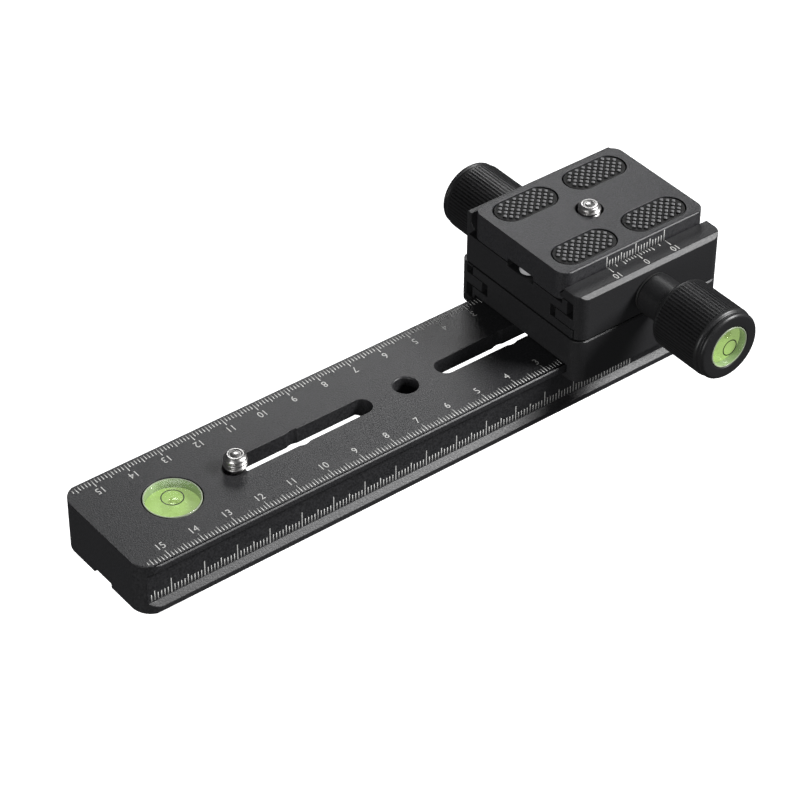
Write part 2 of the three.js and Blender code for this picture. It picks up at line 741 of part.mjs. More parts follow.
// Knob, lead screw, washer and end level, pointing along +Y or, with sign -1, along -Y.
function addKnob(prefix, y, z, sign, length, leadTip) {
  const axis = group(object, CLAMP_X, y, z);
  axis.rotation.x = sign > 0 ? 0 : Math.PI;
  add(axis, `${prefix}_knob`, knob(length), anodisedKnob);
  const lead = cylinderY(LEAD_RADIUS, sign * (leadTip - y), length - KNOB_SOCKET - GAP);
  add(axis, `${prefix}_lead_screw`, lead, steel);
  add(axis, `${prefix}_knob_washer`, knobWasher(), nylon);
  const end = group(axis, 0, length, 0);
  end.rotation.x = -Math.PI / 2;
  const bubble = [0.2, -3.3 * sign];
  addLevel(end, `${prefix}_knob_level`, KNOB_LEVEL.radius, KNOB_LEVEL.depth - GAP, bubble);
}

function addSprings(prefix, y, z) {
  [-SPRING.x, SPRING.x].forEach((x, i) => {
    const geometry = coil(SPRING);
    add(object, `${prefix}_spring_${i + 1}`, geometry, springSteel, [CLAMP_X + x, y, z]);
  });
}

function addClamp() {
  const at = [CLAMP_X, 0, 0];
  add(object, "lower_body", lowerBody(), anodised, at);
  add(object, "lower_jaw", lowerJaw(), anodised, at);
  add(object, "upper_body", upperBody(), anodised, at);
  add(object, "upper_jaw", upperJaw(), anodised, at);
  [-1, 1].forEach((side, i) => {
    const joinAt = [CLAMP_X + side * JOIN_X, CHANNEL_Y, 0];
    const stopAt = [CLAMP_X + side * STOP_PIN_X, CHANNEL_Y, 0];
    add(object, `joining_screw_${i + 1}`, joiningScrew(), steel, joinAt);
    const sink = CHANNEL_FLOOR - CHANNEL_SINK + GAP;
    const pin = cylinderZ(STOP_PIN_RADIUS, sink, PLATE_BOTTOM - 0.4, 0, 0, 16);
    add(object, `plate_stop_pin_${i + 1}`, pin, steel, stopAt);
  });
  addSprings("lower", LOWER_SPRING_Y, LOWER_SPRING_Z);
  addSprings("upper", UPPER_SPRING_Y, UPPER_SPRING_Z);
  addKnob("lower", LOWER_FAR_FACE, LOWER_AXIS_Z, 1, LOWER_KNOB_LENGTH, LOWER_LEAD_TIP);
  addKnob("upper", NEAR_FACE, UPPER_AXIS_Z, -1, UPPER_KNOB_LENGTH, UPPER_LEAD_TIP);
}

function addPlate() {
  const at = [CLAMP_X, PLATE_Y, 0];
  add(object, "qr_plate", plate(), anodisedPlate, at);
  padPlaces().forEach(([x, y], i) => {
    add(object, `rubber_pad_${i + 1}`, pad(), rubber, [CLAMP_X + x, PLATE_Y + y, 0]);
  });
  [-1, 1].forEach((side, i) => {
    const stopAt = [CLAMP_X + side * STOP_SCREW_X, CHANNEL_Y, 0];
    add(object, `plate_stop_screw_${i + 1}`, stopScrew(), steel, stopAt);
  });
  add(object, "plate_screw", plateScrew(), steel, [CLAMP_X, PLATE_Y, PLATE_TOP]);
}

addRail();
addClamp();
addPlate();

// The frame's origin is the middle of the object's box on the ground.
object.updateMatrixWorld(true);
const bounds = new THREE.Box3().setFromObject(object, true);
const centre = bounds.getCenter(new THREE.Vector3());
object.position.set(-centre.x, -centre.y, -bounds.min.z);
object.updateMatrixWorld(true);

export default object;
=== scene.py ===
"""Looks of the nodal slide rail with its double quick-release clamp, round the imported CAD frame.
Metres, +Z up. Every place comes from the frame's node boxes."""

import json
import math

import bmesh
import bpy
from mathutils import Matrix, Vector


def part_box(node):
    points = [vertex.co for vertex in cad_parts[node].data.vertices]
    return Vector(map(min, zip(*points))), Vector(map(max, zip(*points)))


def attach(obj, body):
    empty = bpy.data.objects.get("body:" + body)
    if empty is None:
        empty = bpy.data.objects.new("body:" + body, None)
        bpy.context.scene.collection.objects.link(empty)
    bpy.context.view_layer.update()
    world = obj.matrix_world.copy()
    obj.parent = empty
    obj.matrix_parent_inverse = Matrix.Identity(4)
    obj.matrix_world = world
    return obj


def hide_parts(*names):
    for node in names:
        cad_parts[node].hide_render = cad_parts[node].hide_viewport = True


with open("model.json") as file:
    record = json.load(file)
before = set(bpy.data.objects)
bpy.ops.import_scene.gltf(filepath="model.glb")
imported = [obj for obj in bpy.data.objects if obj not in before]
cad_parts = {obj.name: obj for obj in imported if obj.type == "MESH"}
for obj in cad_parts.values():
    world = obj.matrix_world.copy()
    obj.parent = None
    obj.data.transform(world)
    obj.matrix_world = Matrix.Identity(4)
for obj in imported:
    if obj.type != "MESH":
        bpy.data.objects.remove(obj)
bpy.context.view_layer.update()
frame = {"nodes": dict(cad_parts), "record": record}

MM = 0.001
WELD = 0.03 * MM

# ---------- driving dimensions ----------

EDGE_ROUNDING = 0.16 * MM
SCREW_ROUNDING = 0.12 * MM

SCALE_ZERO = 20.9 * MM
SCALE_LAST = 156
TICK_WIDTH = 0.25 * MM
TICK_PROUD = 0.02 * MM
TICK_SINK = 0.03 * MM
RAIL_TICK_OUTER = 17.95 * MM
RAIL_TICK_INNER = {10: 15.05 * MM, 5: 15.65 * MM, 1: 16.25 * MM}
RAIL_NUMERAL = 2.35 * MM
RAIL_NUMERAL_Y = 13.3 * MM
RAIL_CORNER = 6 * MM
WEB_INSET = 1.57 * MM
WEB_FLOOR = 3.5 * MM
WEB_TICK = {10: 4.8 * MM, 5: 3.2 * MM, 1: 2.3 * MM}
PLATE_TICK_FOOT = 4.25 * MM
PLATE_TICK = {10: 3.8 * MM, 5: 3.1 * MM, 1: 2.45 * MM}
JAW_TOP = 39.7 * MM
JAW_TOP_INSET = 0.12 * MM
JAW_GAP = 0.3 * MM
JAW_TICK = {10: 2.45 * MM, 5: 1.64 * MM, 1: 1.05 * MM}
JAW_TICK_PLACES = (-10, -7.5, -5, -4, -3, -2, -1, 0, 1, 2, 3, 4, 5, 7.5, 10)
JAW_NUMERAL = 2.2 * MM
JAW_NUMERAL_GAP = 0.45 * MM
NUMERAL_NARROWING = 0.88
NUMERAL_THINNING = 0.02 * MM
FONT_PER_HEIGHT = 1.4

KNOB_BARREL = 20 * MM
KNOB_FOOT = 1.1 * MM
KNOB_BORE = 2.7 * MM
KNOB_NECK = 6 * MM
KNOB_DISC_STEP = 0.4 * MM
KNOB_FLUTES = 64
FLUTE_STEPS = 8
FLUTE_DEPTH = 0.3 * MM
FLUTE_WIDTH = 0.7
FLUTE_FADE = 0.35 * MM
FLUTES_BEHIND_END = (17.75 * MM, 3.05 * MM)

SCREW_THREAD = 3.12 * MM
SCREW_NECK = 2.6 * MM
SCREW_CROWN = 0.75 * MM
THREAD_PITCH = 1.27 * MM
THREAD_DEPTH = 0.75 * MM
THREAD_STEP = 0.07 * MM

LEVEL_RIM = 0.4 * MM
LEVEL_FLOOR = 1 * MM
LEVEL_SHOWN_DEPTH = 0.36
LEVEL_FIT = 0.02 * MM
RING_WIDTH = 0.3 * MM
RING_PROUD = 0.05 * MM
RING_GAP = 0.01 * MM
BUBBLE_STEPS = 16

STUD_PITCH = 1.15 * MM
STUD_TOP = 0.9 * MM
STUD_FOOT = 1.12 * MM
STUD_HEIGHT = 0.55 * MM
STUD_MARGIN = 0.95 * MM
STUD_SINK = 0.04 * MM


# ---------- materials ----------


class Surface:
    """A procedural material: one Principled shader and the nodes that vary it over the surface."""

    def __init__(self, name, **sockets):
        self.material = bpy.data.materials.new(name)
        self.material.use_nodes = True
        self.tree = self.material.node_tree
        self.shader = self.tree.nodes["Principled BSDF"]
        self.place = self.tree.nodes.new("ShaderNodeTexCoord").outputs["Object"]
        for socket, value in sockets.items():
            self.shader.inputs[socket.replace("_", " ")].default_value = value

    def add(self, kind, links=(), **values):
        node = self.tree.nodes.new(kind)
        for socket, value in values.items():
            node.inputs[socket.replace("_", " ")].default_value = value
        for socket, source in links:
            self.tree.links.new(source, node.inputs[socket])
        return node

    def noise(self, size, detail=2.0, stretch=(1, 1, 1), rough=0.5):
        """Noise whose grains are about size metres wide."""
        scaled = self.add("ShaderNodeMapping", [("Vector", self.place)])
        scaled.inputs["Scale"].default_value = [s / size for s in stretch]
        links = [("Vector", scaled.outputs["Vector"])]
        found = self.add("ShaderNodeTexNoise", links, Scale=1, Detail=detail, Roughness=rough)
        return found.outputs["Fac"]

    def spread(self, source, low, high, start=0.3, end=0.7):
        """The source's usual span mapped to low..high."""
        node = self.add("ShaderNodeMapRange", [("Value", source)])
        for socket, value in (("From Min", start), ("From Max", end), ("To Min", low), ("To Max", high)):
            node.inputs[socket].default_value = value
        return node.outputs["Result"]

    def ramp(self, source, stops):
        node = self.add("ShaderNodeValToRGB", [("Fac", source)])
        elements = node.color_ramp.elements
        for element, (at, colour) in zip(elements, (stops[0], stops[-1])):
            element.position = at
            element.color = (*colour, 1)
        for at, colour in stops[1:-1]:
            elements.new(at).color = (*colour, 1)
        return node.outputs["Color"]

    def feed(self, socket, source):
        self.tree.links.new(source, self.shader.inputs[socket])

    def bump(self, heights):
        """Bumps laid over one another, from (height source, depth in metres)."""
        normal = None
        for source, depth in heights:
            links = [("Height", source)] + ([("Normal", normal)] if normal else [])
            node = self.add("ShaderNodeBump", links, Strength=1.0, Distance=depth)
            normal = node.outputs["Normal"]
        self.feed("Normal", normal)


def blasted(name, dark, light, roughness, grain, relief, **sockets):
    """Bead-blasted and anodised aluminium."""
    surface = Surface(name, **sockets)
    fine = surface.noise(grain, detail=3.0, rough=0.65)
    broad = surface.noise(14 * MM, detail=3.0)
    surface.feed("Base Color", surface.ramp(fine, [(0.34, dark), (0.66, light)]))
    surface.feed("Roughness", surface.spread(fine, roughness - 0.08, roughness + 0.08))
    surface.bump([(fine, relief), (broad, 0.02 * MM)])
    return surface.material


def turned_steel(name, colour, roughness, stretch):
    """Bright steel with faint turning marks along the stretch."""
    surface = Surface(name, Metallic=1.0)
    marks = surface.noise(0.5 * MM, detail=4.0, stretch=stretch)
    broad = surface.noise(2.5 * MM, detail=2.0)
    darker = [c * 0.82 for c in colour]
    surface.feed("Base Color", surface.ramp(broad, [(0.3, darker), (0.7, colour)]))
    surface.feed("Roughness", surface.spread(marks, roughness - 0.05, roughness + 0.08))
    surface.bump([(marks, 0.0012 * MM)])
    return surface.material


def moulded(name, dark, light, roughness, grain, relief, **sockets):
    """Moulded rubber or plastic with a fine skin."""
    surface = Surface(name, **sockets)
    fine = surface.noise(grain, detail=2.0)
    broad = surface.noise(6 * MM, detail=2.0)
    surface.feed("Base Color", surface.ramp(broad, [(0.3, dark), (0.7, light)]))
    surface.feed("Roughness", surface.spread(fine, roughness - 0.06, roughness + 0.06))
    surface.bump([(fine, relief)])
    return surface.material


def studded_rubber(name, node):
    """Rubber with painted light: the stud tops are painted light grey as a highlight and the floor
    between the studs is painted near black as shade; the tops are also smoother.
    """
    surface = Surface(name)
    skin = surface.noise(0.22 * MM, detail=2.0)
    parts = surface.add("ShaderNodeSeparateXYZ", [("Vector", surface.place)])
    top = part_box(node)[1].z
    height = surface.spread(parts.outputs["Z"], 0, 1, top - STUD_HEIGHT, top - 0.1 * MM)
    # Painted light: this mask rises with height, so the stud tops take a painted highlight and the floor
    # between the studs painted shade.
    wear_and_painted_top_light = surface.add("ShaderNodeMath", [(0, height), (1, surface.spread(skin, 0.75, 1))])
    wear_and_painted_top_light.operation = "MULTIPLY"
    level = wear_and_painted_top_light.outputs["Value"]
    # Painted highlight on the stud tops (light grey) and painted shade between the studs (near black).
    stops = [(0.55, (0.004, 0.004, 0.004)), (0.9, (0.2, 0.2, 0.205))]
    surface.feed("Base Color", surface.ramp(level, stops))
    surface.feed("Roughness", surface.spread(level, 0.65, 0.24, 0, 1))
    surface.bump([(skin, 0.012 * MM)])
    return surface.material


def printed_ink(name, colour):
    surface = Surface(name)
    wear = surface.noise(0.35 * MM, detail=3.0)
    wear_and_painted_top_light = [c * 0.78 for c in colour]
    surface.feed("Base Color", surface.ramp(wear, [(0.28, wear_and_painted_top_light), (0.45, colour)]))
    surface.feed("Roughness", surface.spread(wear, 0.42, 0.6))
    surface.bump([(wear, 0.004 * MM)])
    return surface.material


def clear_film(name, tint, gloss):
    """Something clear as a thin film: what lies behind shows through, under a faint reflection."""
    surface = Surface(name)
    tree = surface.tree
    haze = surface.noise(1.2 * MM, detail=3.0)
    clear = surface.add("ShaderNodeBsdfTransparent", Color=tint)
    glare = surface.add("ShaderNodeBsdfGlossy", [("Roughness", surface.spread(haze, 0.03, 0.09))])
    mix = surface.add("ShaderNodeMixShader", [("Fac", surface.spread(haze, gloss, gloss * 1.3))])
    tree.links.new(clear.outputs["BSDF"], mix.inputs[1])
    tree.links.new(glare.outputs["BSDF"], mix.inputs[2])
    tree.links.new(mix.outputs["Shader"], tree.nodes["Material Output"].inputs["Surface"])
    tree.nodes.remove(surface.shader)
    return surface.material


def rail_finish(name):
    return blasted(name, (0.012, 0.012, 0.013), (0.042, 0.042, 0.045), 0.42, 0.45 * MM, 0.06 * MM)


def plate_finish(name):
    return blasted(name, (0.016, 0.016, 0.018), (0.05, 0.05, 0.054), 0.44, 0.45 * MM, 0.07 * MM)


def clamp_finish(name):
    dark, light = (0.02, 0.02, 0.021), (0.038, 0.038, 0.04)
    return blasted(name, dark, light, 0.4, 0.3 * MM, 0.02 * MM, Specular_IOR_Level=0.3)


def knob_finish(name):
    dark, light = (0.014, 0.014, 0.015), (0.03, 0.03, 0.031)
    return blasted(name, dark, light, 0.36, 0.25 * MM, 0.006 * MM, Specular_IOR_Level=0.4)


def level_wall(name):
    return moulded(name, (0.3, 0.36, 0.24), (0.44, 0.5, 0.36), 0.16, 0.8 * MM, 0.01 * MM)


def lime_fluid(name):
    """The level's liquid, with a painted glow: it emits a faint lime light of its own, though it is no
    lamp.
    """
    dark, light = (0.2, 0.29, 0.07), (0.24, 0.34, 0.1)
    # Painted light: emission makes the fluid glow faintly lime.
    painted_glow = {"Emission_Color": (0.62, 0.8, 0.34, 1), "Emission_Strength": 0.5}
    return moulded(name, dark, light, 0.3, 3.0 * MM, 0.002 * MM, **painted_glow)


def black_nylon(name):
    return moulded(name, (0.02, 0.02, 0.02), (0.04, 0.04, 0.04), 0.5, 0.4 * MM, 0.02 * MM)


def black_ink(name):
    return moulded(name, (0.004, 0.004, 0.004), (0.012, 0.012, 0.012), 0.4, 0.2 * MM, 0.004 * MM)


def zinc_plate(name):
    return moulded(name, (0.66, 0.66, 0.67), (0.82, 0.82, 0.83), 0.35, 0.4 * MM, 0.004 * MM)


MATERIALS = {
    "anodised_rail": rail_finish("anodised_rail"),
    "anodised_clamp": clamp_finish("anodised_clamp"),
    "anodised_plate": plate_finish("anodised_plate"),
    "anodised_knob": knob_finish("anodised_knob"),
    "steel": turned_steel("steel", (0.72, 0.71, 0.7), 0.31, (1, 1, 4)),
    "zinc": zinc_plate("zinc"),
    "spring_steel": turned_steel("spring_steel", (0.5, 0.51, 0.53), 0.3, (1, 1, 1)),
    "nylon": black_nylon("nylon"),
    "pad_rubber": studded_rubber("pad_rubber", "rubber_pad_1"),
    "level_cup": level_wall("level_cup"),
    "level_fluid": lime_fluid("level_fluid"),
    "level_bubble": clear_film("level_bubble", (1.0, 1.0, 0.94, 1), 0.16),
    "level_lens": clear_film("level_lens", (0.96, 1.0, 0.93, 1), 0.045),
    "level_ink": black_ink("level_ink"),
    "scale_white": printed_ink("scale_white", (0.7, 0.7, 0.68)),
}


# ---------- mesh tools ----------


def body_of(node):
    for body, nodes in frame["record"]["behaviour"]["bodies"].items():
        if node in nodes:
            return body


def slot_of(node):
    for part in frame["record"]["subparts"]:
        if part["node"] == node:
            return part["material_slot"]


def made(name, bm, node, slot=None):
    """A smooth piece from a bmesh, which rides with the node's body and takes its finish."""
    mesh = bpy.data.meshes.new(name)
    bm.to_mesh(mesh)
    bm.free()
    piece = bpy.data.objects.new(name, mesh)
    bpy.context.scene.collection.objects.link(piece)
    finish = slot or slot_of(node)
    mesh.materials.append(MATERIALS[finish])
    mesh.shade_smooth()
    normals = piece.modifiers.new("flat_faces", "WEIGHTED_NORMAL")
    normals.weight = 80
    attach(piece, body_of(node))
    return piece


def ring_of(bm, radius_at, segments, place):
    """Ring of points at radius_at(angle) in the local XY plane, put in place."""
    points = []
    for i in range(segments):
        angle = 2 * math.pi * i / segments
        r = radius_at(angle)
        points.append(bm.verts.new(place @ Vector((r * math.cos(angle), r * math.sin(angle), 0))))
    return points


def bridge(bm, lower, upper):
    count = len(lower)
    for i in range(count):
        j = (i + 1) % count
        bm.faces.new((lower[i], lower[j], upper[j], upper[i]))


def cap(bm, ring, centre, upwards):
    tip = bm.verts.new(centre)
    count = len(ring)
    for i in range(count):
        a, b = ring[i], ring[(i + 1) % count]
        bm.faces.new((a, b, tip) if upwards else (b, a, tip))


def round_shape(radius, height, angle):
    return radius


def turned(rows, frame_matrix, segments, closed=False, shape=round_shape):
    """Solid of revolution about the matrix's Z axis, up its outside from (radius, height) rows.
    shape(radius, height, angle) may change a row's radius round the turn."""
    bm = bmesh.new()
    rings = []
    for radius, height in rows:
        place = frame_matrix @ Matrix.Translation((0, 0, height))
        rings.append(ring_of(bm, lambda angle: shape(radius, height, angle), segments, place))
    for lower, upper in zip(rings, rings[1:]):
        bridge(bm, lower, upper)
    if closed:
        bridge(bm, rings[-1], rings[0])
    else:
        cap(bm, rings[0], frame_matrix @ Vector((0, 0, rows[0][1])), False)
        cap(bm, rings[-1], frame_matrix @ Vector((0, 0, rows[-1][1])), True)
    return bm


def softened(rows, radius, steps=3, closed=False):
    """The rows with each corner rounded to about that radius."""
    count = len(rows)
    corners = range(count) if closed else range(1, count - 1)
    soft = [] if closed else [rows[0]]
    for i in corners:
        before, at, after = (Vector(rows[j % count]) for j in (i - 1, i, i + 1))
        reach = min(radius, (at - before).length * 0.45, (after - at).length * 0.45)
        start = at + (before - at).normalized() * reach
        end = at + (after - at).normalized() * reach
        for k in range(steps + 1):
            t = k / steps
            soft.append(tuple(start * (1 - t) ** 2 + at * 2 * t * (1 - t) + end * t**2))
    return soft if closed else soft + [rows[-1]]


def middle(node):
    lo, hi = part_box(node)
    return (lo + hi) / 2


def round_edges(piece, width):
    """Rounds the piece's sharp edges, ahead of its weighted normals."""
    bevel = piece.modifiers.new("round_edges", "BEVEL")
    piece.modifiers.move(1, 0)
    bevel.width = width
    bevel.segments = 3
    bevel.limit_method = "ANGLE"
    bevel.angle_limit = math.radians(30)
    bevel.use_clamp_overlap = False
    bevel.miter_outer = "MITER_ARC"


def machined(node, width):
    """The node's solid with whole flat faces and small rounded edges."""
    bm = bmesh.new()
    bm.from_mesh(frame["nodes"][node].data)
    bmesh.ops.remove_doubles(bm, verts=bm.verts, dist=WELD)
    bmesh.ops.dissolve_limit(bm, angle_limit=math.radians(0.7), verts=bm.verts, edges=bm.edges)
    piece = made("look_" + node, bm, node)
    custom = piece.data.attributes.get("custom_normal")
    if custom:
        piece.data.attributes.remove(custom)
    round_edges(piece, width)
    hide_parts(node)
    return piece


# ---------- machined bodies ----------


def build_bodies():
    for node in ("rail", "lower_body", "lower_jaw", "upper_body", "upper_jaw", "qr_plate"):
        machined(node, EDGE_ROUNDING)
    for node in ("joining_screw_1", "joining_screw_2"):
        machined(node, SCREW_ROUNDING)
    for node in ("plate_stop_screw_1", "plate_stop_screw_2"):
        screw = machined(node, SCREW_ROUNDING)
        screw.data.materials[0] = MATERIALS["zinc"]


# ---------- scales ----------


def tick(bm, centre, half):
    """A thin bar, from its centre and half sizes."""
    bmesh.ops.create_cube(bm, size=2, matrix=Matrix.Translation(centre) @ Matrix.Diagonal((*half, 1)))


def tick_size(i):
    return 10 if i % 10 == 0 else 5 if i % 5 == 0 else 1


def rail_edge_limit(x):
    """How far from the rail's middle line its top face reaches at x, by its rounded end."""
    lo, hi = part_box("rail")
    half = (hi.y - lo.y) / 2
    inset = RAIL_CORNER - (x - lo.x)
    if inset <= 0:
        return half
    return half - RAIL_CORNER + math.sqrt(max(RAIL_CORNER**2 - inset**2, 0))


def rail_ticks():
    lo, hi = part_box("rail")
    y0 = (lo.y + hi.y) / 2
    thick = (TICK_PROUD + TICK_SINK) / 2
    z = hi.z + TICK_PROUD - thick
    bm = bmesh.new()
    for i in range(SCALE_LAST + 1):
        x = hi.x - SCALE_ZERO - i * MM
        outer = min(RAIL_TICK_OUTER, rail_edge_limit(x) - 0.9 * MM)
        inner = RAIL_TICK_INNER[tick_size(i)]
        for side in (-1, 1):
            centre = Vector((x, y0 + side * (outer + inner) / 2, z))
            tick(bm, centre, (TICK_WIDTH / 2, (outer - inner) / 2, thick))
    return made("rail_top_ticks", bm, "rail", "scale_white")


def web_ticks():
    lo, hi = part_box("rail")
    y0 = (lo.y + hi.y) / 2
    web = (hi.y - lo.y) / 2 - WEB_INSET
    thick = (TICK_PROUD + TICK_SINK) / 2
    bm = bmesh.new()
    for i in range(SCALE_LAST + 1):
        x = hi.x - SCALE_ZERO - i * MM
        height = WEB_TICK[tick_size(i)]
        for side in (-1, 1):
            y = y0 + side * (web + TICK_PROUD - thick)
            tick(bm, Vector((x, y, WEB_FLOOR + height / 2)), (TICK_WIDTH / 2, thick, height / 2))
    return made("rail_web_ticks", bm, "rail", "scale_white")


def numeral(text, size, centre, turn):
    """A number as thin raised ink, flat on an upward face and turned about Z."""
    curve = bpy.data.curves.new("numeral", "FONT")
    curve.body = text
    curve.size = size * FONT_PER_HEIGHT
    curve.extrude = TICK_SINK / 2
    curve.offset = -NUMERAL_THINNING
    curve.align_x = "CENTER"
    curve.align_y = "CENTER"
    curve.resolution_u = 4
    holder = bpy.data.objects.new("numeral", curve)
    bpy.context.scene.collection.objects.link(holder)
    bpy.context.view_layer.update()
    flat = bpy.data.meshes.new_from_object(holder)
    bpy.data.objects.remove(holder)
    bm = bmesh.new()
    bm.from_mesh(flat)
    bpy.data.meshes.remove(flat)
    lift = centre + Vector((0, 0, TICK_PROUD - TICK_SINK / 2))
    narrow = Matrix.Diagonal((NUMERAL_NARROWING, 1, 1, 1))
    bm.transform(Matrix.Translation(lift) @ Matrix.Rotation(turn, 4, "Z") @ narrow)
    return bm


def merged(name, parts, node):
    """One scale piece from several small ones."""
    whole = bmesh.new()
    for bm in parts:
        small = bpy.data.meshes.new("part")
        bm.to_mesh(small)
        bm.free()
        whole.from_mesh(small)
        bpy.data.meshes.remove(small)
    return made(name, whole, node, "scale_white")


def rail_numerals():
    lo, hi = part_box("rail")
    y0 = (lo.y + hi.y) / 2
    parts = []
    for n in range(SCALE_LAST // 10 + 1):
        x = hi.x - SCALE_ZERO - n * 10 * MM
        for side, turn in ((-1, 0), (1, math.pi)):
            centre = Vector((x, y0 + side * RAIL_NUMERAL_Y, hi.z))
            parts.append(numeral(str(n), RAIL_NUMERAL, centre, turn))
    return merged("rail_numerals", parts, "rail")


def plate_ticks():
    lo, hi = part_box("qr_plate")
    thick = (TICK_PROUD + TICK_SINK) / 2
    x0 = (lo.x + hi.x) / 2
    bm = bmesh.new()
    for i in range(-10, 11):
        height = PLATE_TICK[tick_size(i)]
        centre = Vector((x0 + i * MM, lo.y - TICK_PROUD + thick, hi.z - PLATE_TICK_FOOT + height / 2))
        tick(bm, centre, (TICK_WIDTH / 2, thick, height / 2))
    return made("plate_ticks", bm, "qr_plate", "scale_white")


def jaw_scale():
    """Ticks from the jaw's inner edge outwards, with 10, 0 and 10 beyond the long ones."""
    plate_lo, plate_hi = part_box("qr_plate")
    inner = plate_lo.y - JAW_GAP - JAW_TOP_INSET
    x0 = (plate_lo.x + plate_hi.x) / 2
    thick = (TICK_PROUD + TICK_SINK) / 2
    bars = bmesh.new()
    parts = [bars]
    for place in JAW_TICK_PLACES:
        length = JAW_TICK[tick_size(place)]
        centre = Vector((x0 + place * MM, inner - length / 2, JAW_TOP + TICK_PROUD - thick))
        tick(bars, centre, (TICK_WIDTH / 2, length / 2, thick))
        if tick_size(place) == 10:
            y = inner - length - JAW_NUMERAL_GAP - JAW_NUMERAL / 2
            at = Vector((x0 + place * MM, y, JAW_TOP))
            parts.append(numeral(str(abs(place)), JAW_NUMERAL, at, math.pi))
    return merged("jaw_scale", parts, "upper_jaw")


# ---------- knobs ----------


def knob_rows(length, radius, hollow, depth):
    """(radius, height) rows from the neck to the end disc and the hollow that holds the level."""
    start = length - KNOB_BARREL
    disc = radius - KNOB_DISC_STEP
    neck = [
        (KNOB_BORE, KNOB_FOOT),
        (KNOB_NECK, KNOB_FOOT),
        (KNOB_NECK, start - 1.2 * MM),
        (7.2 * MM, start),
        (radius - 1.6 * MM, start),
        (radius, start + 1.6 * MM),
        (radius, start + 2.2 * MM),
    ]
    end = [
        (radius, length - 3 * MM),
        (radius - 0.15 * MM, length - 2.3 * MM),
        (disc - 0.4 * MM, length - 1.75 * MM),
        (disc - 0.4 * MM, length - 1.45 * MM),
        (disc, length - 1.25 * MM),
        (disc, length - 0.65 * MM),
        (disc - 0.6 * MM, length),
        (hollow, length),
        (hollow, length - depth),
    ]
    return softened(neck + end, 0.35 * MM, steps=4)


def flute_shape(start, end):
    """Narrow grooves along the axis, that fade out at both ends."""

    def shape(radius, height, angle):
        inside = min(height - start, end - height) / FLUTE_FADE
        depth = FLUTE_DEPTH * max(0.0, min(1.0, inside))
        return radius - depth * max(0.0, 1 - abs(math.sin(angle * KNOB_FLUTES / 2)) / FLUTE_WIDTH)

    return shape


def flute_heights(start, end):
    """Heights of the rows that carry the flutes, close together where they fade."""
    fading = (0.01, 0.33, 0.66, 1)
    rising = [start + FLUTE_FADE * t for t in fading]
    falling = [end - FLUTE_FADE * t for t in reversed(fading)]
    return rising + [start + 5 * MM, start + 10 * MM] + falling


def build_knob(prefix):
    """The knob's axis points away from the clamp, along +Y or -Y."""
    node = prefix + "_knob"
    lo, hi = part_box(node)
    centre = middle(node)
    jaw = middle(prefix + "_jaw")
    outward = 1 if centre.y > jaw.y else -1
    foot = (lo.y if outward > 0 else hi.y) - outward * KNOB_FOOT
    turn = Matrix.Rotation(-outward * math.pi / 2, 4, "X")
    place = Matrix.Translation((centre.x, foot, centre.z)) @ turn
    length = hi.y - lo.y + KNOB_FOOT
    radius = (hi.z - lo.z) / 2
    cup_lo, cup_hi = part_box(prefix + "_knob_level_cup")
    hollow = (cup_hi.z - cup_lo.z) / 2 + 0.15 * MM
    depth = cup_hi.y - cup_lo.y + 0.3 * MM
    rows = knob_rows(length, radius, hollow, depth)
    start, end = (length - behind for behind in FLUTES_BEHIND_END)
    at = next(i for i, (_, height) in enumerate(rows) if height > start)
    rows[at:at] = [(radius, height) for height in flute_heights(start, end)]
    bm = turned(rows, place, KNOB_FLUTES * FLUTE_STEPS, shape=flute_shape(start, end))
    piece = made("look_" + node, bm, node)
    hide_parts(node)
    return piece


# ---------- threaded screws ----------


def thread_shape(bottom, top):
    """A helical groove between bottom and top."""

    def shape(radius, height, angle):
        if height < bottom or height > top or radius < 2 * MM:
            return radius
        turn = (height / THREAD_PITCH - angle / (2 * math.pi)) % 1
        groove = max(0.0, 1 - abs(turn - 0.5) / 0.36)
        return radius - THREAD_DEPTH * groove

    return shape


def screw_rows(head_radius, head_height, thread_bottom, top):
    """Rows from the head's underside up to the ringed top face."""
    foot = [
        (head_radius - 0.4 * MM, 0),
        (head_radius, 0.4 * MM),
        (head_radius, head_height),
        (SCREW_NECK, head_height),
        (SCREW_NECK, thread_bottom),
    ]
    span = top - SCREW_CROWN - thread_bottom
    steps = int(span / THREAD_STEP)
    thread = [(SCREW_THREAD, thread_bottom + span * i / steps) for i in range(1, steps + 1)]
    crown = [
        (SCREW_THREAD - 0.25 * MM, top - 0.45 * MM),
        (SCREW_THREAD - 0.75 * MM, top - 0.08 * MM),
        (SCREW_THREAD - 1.0 * MM, top),
        (SCREW_THREAD - 1.35 * MM, top),
        (SCREW_THREAD - 1.5 * MM, top - 0.16 * MM),
        (SCREW_THREAD - 1.75 * MM, top - 0.16 * MM),
        (SCREW_THREAD - 1.9 * MM, top),
    ]
    return softened(foot, 0.12 * MM) + thread + crown


def build_screw(node, head_height, thread_length):
    lo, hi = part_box(node)
    centre = middle(node)
    height = hi.z - lo.z
    place = Matrix.Translation((centre.x, centre.y, lo.z))
    thread_bottom = height - thread_length
    rows = screw_rows((hi.x - lo.x) / 2, head_height, thread_bottom, height)
    bm = turned(rows, place, 72, shape=thread_shape(thread_bottom, height - 0.3 * MM))
    piece = made("look_" + node, bm, node)
    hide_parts(node)
    return piece


# ---------- rubber pads ----------


def stadium(half_length, half_width, z, centre, bm, arc=16):
    """Loop with semicircular ends, long along X."""
    points = []
    straight = half_length - half_width
    for end, start in ((1, -math.pi / 2), (-1, math.pi / 2)):
        for i in range(arc + 1):
            angle = start + math.pi * i / arc
            x = centre.x + end * straight + half_width * math.cos(angle)
            y = centre.y + half_width * math.sin(angle)
            points.append(bm.verts.new((x, y, z)))
    return points


